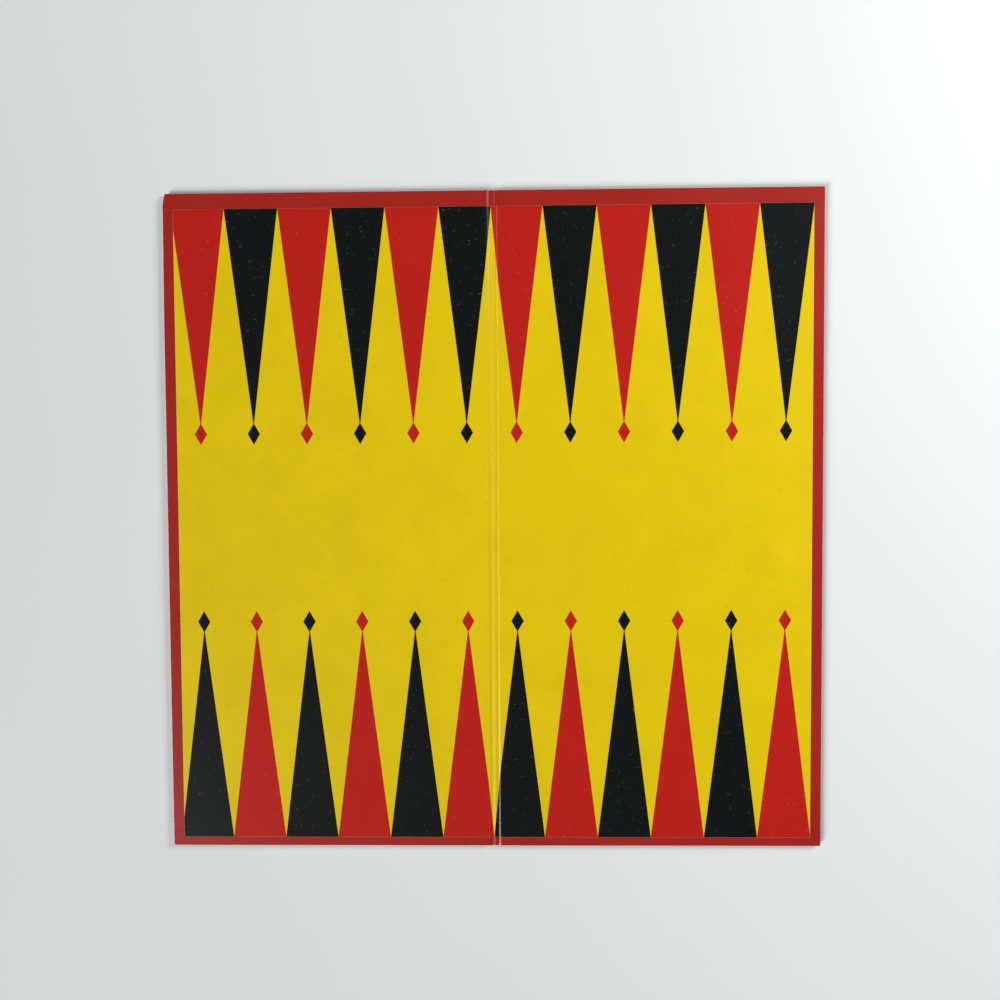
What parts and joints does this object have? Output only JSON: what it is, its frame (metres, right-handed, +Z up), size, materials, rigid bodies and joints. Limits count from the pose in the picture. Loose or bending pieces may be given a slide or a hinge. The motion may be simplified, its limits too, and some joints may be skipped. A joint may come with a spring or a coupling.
{
  "type": "folding backgammon board",
  "caption": "Flat square folding backgammon board, open face up: red wrapped chipboard halves, yellow face sheet, red and black points with diamonds, double-crease cloth fold.",
  "frame": {"origin": "on the table under the middle of the fold, at the bottom centre of the open board", "axes": "+Z up out of the playing face, +X towards the right half across the fold, +Y along the fold to the far row"},
  "size_m": [0.471, 0.472, 0.003],
  "materials": {
    "chipboard": "matte pressed grey board",
    "hinge_cloth": "matt woven book cloth",
    "wrap_paper": "satin, varnished, fine paper texture",
    "face_paper": "satin, varnished litho print",
    "red_ink": "satin, varnished",
    "black_ink": "satin, varnished"
  },
  "bodies": {
    "left_half": {"core_left": "chipboard", "hinge_cloth_left": "hinge_cloth", "wrap_left": "wrap_paper", "face_left": "face_paper", "points_red_far_left": "red_ink", "points_red_near_left": "red_ink", "points_black_far_left": "black_ink", "points_black_near_left": "black_ink"},
    "spine": {"hinge_cloth_fold": "hinge_cloth", "wrap_fold": "wrap_paper", "wrap_fold_tabs": "wrap_paper", "face_fold": "face_paper", "points_red_fold": "red_ink", "points_black_fold": "black_ink"},
    "right_half": {"core_right": "chipboard", "hinge_cloth_right": "hinge_cloth", "wrap_right": "wrap_paper", "face_right": "face_paper", "points_red_far_right": "red_ink", "points_red_near_right": "red_ink", "points_black_far_right": "black_ink", "points_black_near_right": "black_ink"}
  },
  "joints": [
    {"name": "left_crease", "type": "hinge", "parent": "left_half", "child": "spine", "pos_m": [-0.0027, 0, 0.0005], "axis": [0, -1, 0], "range_deg": [0, 90], "deforming": ["face_fold", "wrap_fold_tabs", "points_red_fold", "points_black_fold"]},
    {"name": "right_crease", "type": "hinge", "parent": "spine", "child": "right_half", "pos_m": [0.0027, 0, 0.0005], "axis": [0, -1, 0], "range_deg": [0, 90]}
  ]
}
